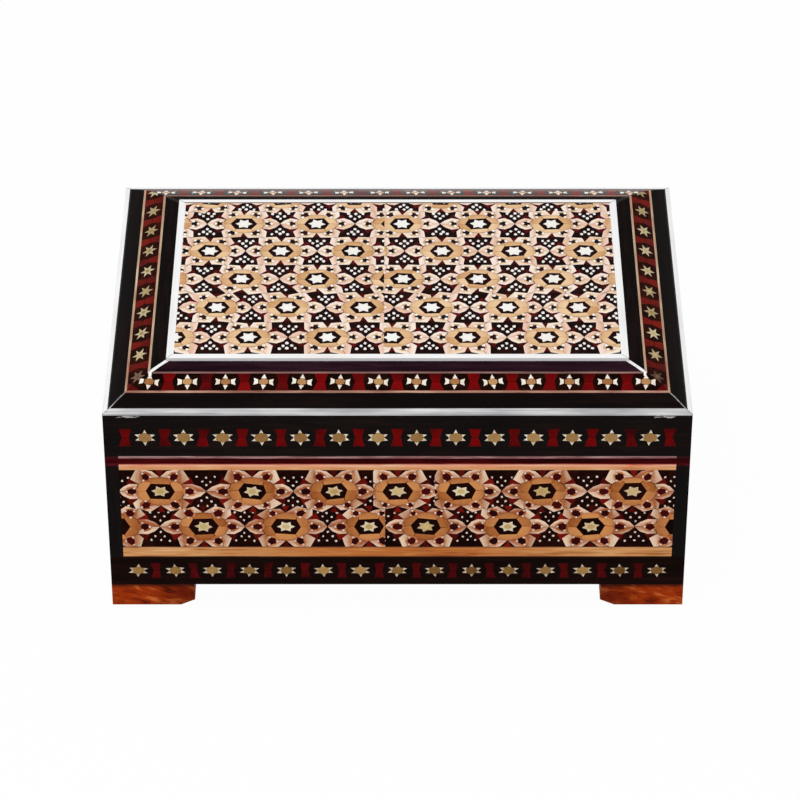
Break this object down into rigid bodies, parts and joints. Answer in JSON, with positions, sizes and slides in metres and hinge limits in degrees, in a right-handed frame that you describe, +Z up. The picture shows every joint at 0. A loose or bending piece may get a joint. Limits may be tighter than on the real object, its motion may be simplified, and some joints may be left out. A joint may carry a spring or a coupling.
{
  "type": "inlaid wooden box",
  "caption": "Rectangular marquetry box with a hinged lid, a raised inlaid panel in a convex moulding, star bands, khatam sides and block feet.",
  "frame": {"origin": "under the middle of the box, on the surface that the feet stand on", "axes": "+X to the right along the width seen from the front, +Y to the back where the hinges are, +Z up"},
  "size_m": [0.2, 0.1414, 0.0913],
  "materials": {
    "carcass_wood": "planed hardwood, thin varnish",
    "black_lacquer": "black wood under clear lacquer, inlaid with stars",
    "khatam": "khatam marquetry under clear lacquer",
    "star_inlay": "star marquetry band under clear lacquer",
    "peach_string": "pale orange wood string, lacquered",
    "orange_string": "orange wood string, lacquered",
    "pink_string": "pale pink wood string, lacquered",
    "rim_red": "dark red stained wood, lacquered",
    "white_strip": "white bone-like strip, lacquered",
    "foot_wood": "reddish brown wood with visible grain",
    "velvet": "dark red velvet",
    "hinge_brass": "plain brass"
  },
  "bodies": {
    "base": {"base_back_wall": "carcass_wood", "base_bottom_board": "carcass_wood", "base_floor_lining": "velvet", "base_front_wall": "carcass_wood", "base_khatam_back": "khatam", "base_khatam_front": "khatam", "base_khatam_left": "khatam", "base_khatam_right": "khatam", "base_left_wall": "carcass_wood", "base_lower_stringing": "orange_string", "base_right_wall": "carcass_wood", "base_rim": "rim_red", "base_upper_stringing": "peach_string", "base_wall_lining": "velvet", "corner_post_back_left": "black_lacquer", "corner_post_back_right": "black_lacquer", "corner_post_front_left": "black_lacquer", "corner_post_front_right": "black_lacquer", "foot_back_left": "foot_wood", "foot_back_right": "foot_wood", "foot_front_left": "foot_wood", "foot_front_right": "foot_wood", "hinge_leaf_base_left": "hinge_brass", "hinge_leaf_base_right": "hinge_brass", "hinge_pins": "hinge_brass", "hinge_screws_base": "hinge_brass", "plinth_band_back": "black_lacquer", "plinth_band_front": "black_lacquer", "plinth_band_left": "black_lacquer", "plinth_band_right": "black_lacquer"},
    "lid": {"hinge_leaf_lid_left": "hinge_brass", "hinge_leaf_lid_right": "hinge_brass", "hinge_screws_lid": "hinge_brass", "hip_stringing": "white_strip", "lid_back_wall": "carcass_wood", "lid_band_back": "black_lacquer", "lid_band_front": "black_lacquer", "lid_band_left": "black_lacquer", "lid_band_right": "black_lacquer", "lid_ceiling_lining": "velvet", "lid_centre_board": "carcass_wood", "lid_edge_strip": "white_strip", "lid_front_wall": "carcass_wood", "lid_khatam_left": "khatam", "lid_khatam_right": "khatam", "lid_left_wall": "carcass_wood", "lid_lower_stringing": "pink_string", "lid_moulding_back": "black_lacquer", "lid_moulding_front": "black_lacquer", "lid_moulding_left": "black_lacquer", "lid_moulding_right": "black_lacquer", "lid_panel_border": "white_strip", "lid_right_wall": "carcass_wood", "lid_top_board": "carcass_wood", "lid_wall_lining": "velvet", "moulding_star_band_back": "star_inlay", "moulding_star_band_front": "star_inlay", "moulding_star_band_left": "star_inlay", "moulding_star_band_right": "star_inlay", "moulding_stringing": "pink_string"}
  },
  "joints": [
    {"name": "lid_hinge", "type": "hinge", "parent": "base", "child": "lid", "pos_m": [0, 0.0696, 0.06385], "axis": [-1, 0, 0], "range_deg": [0, 100]}
  ]
}
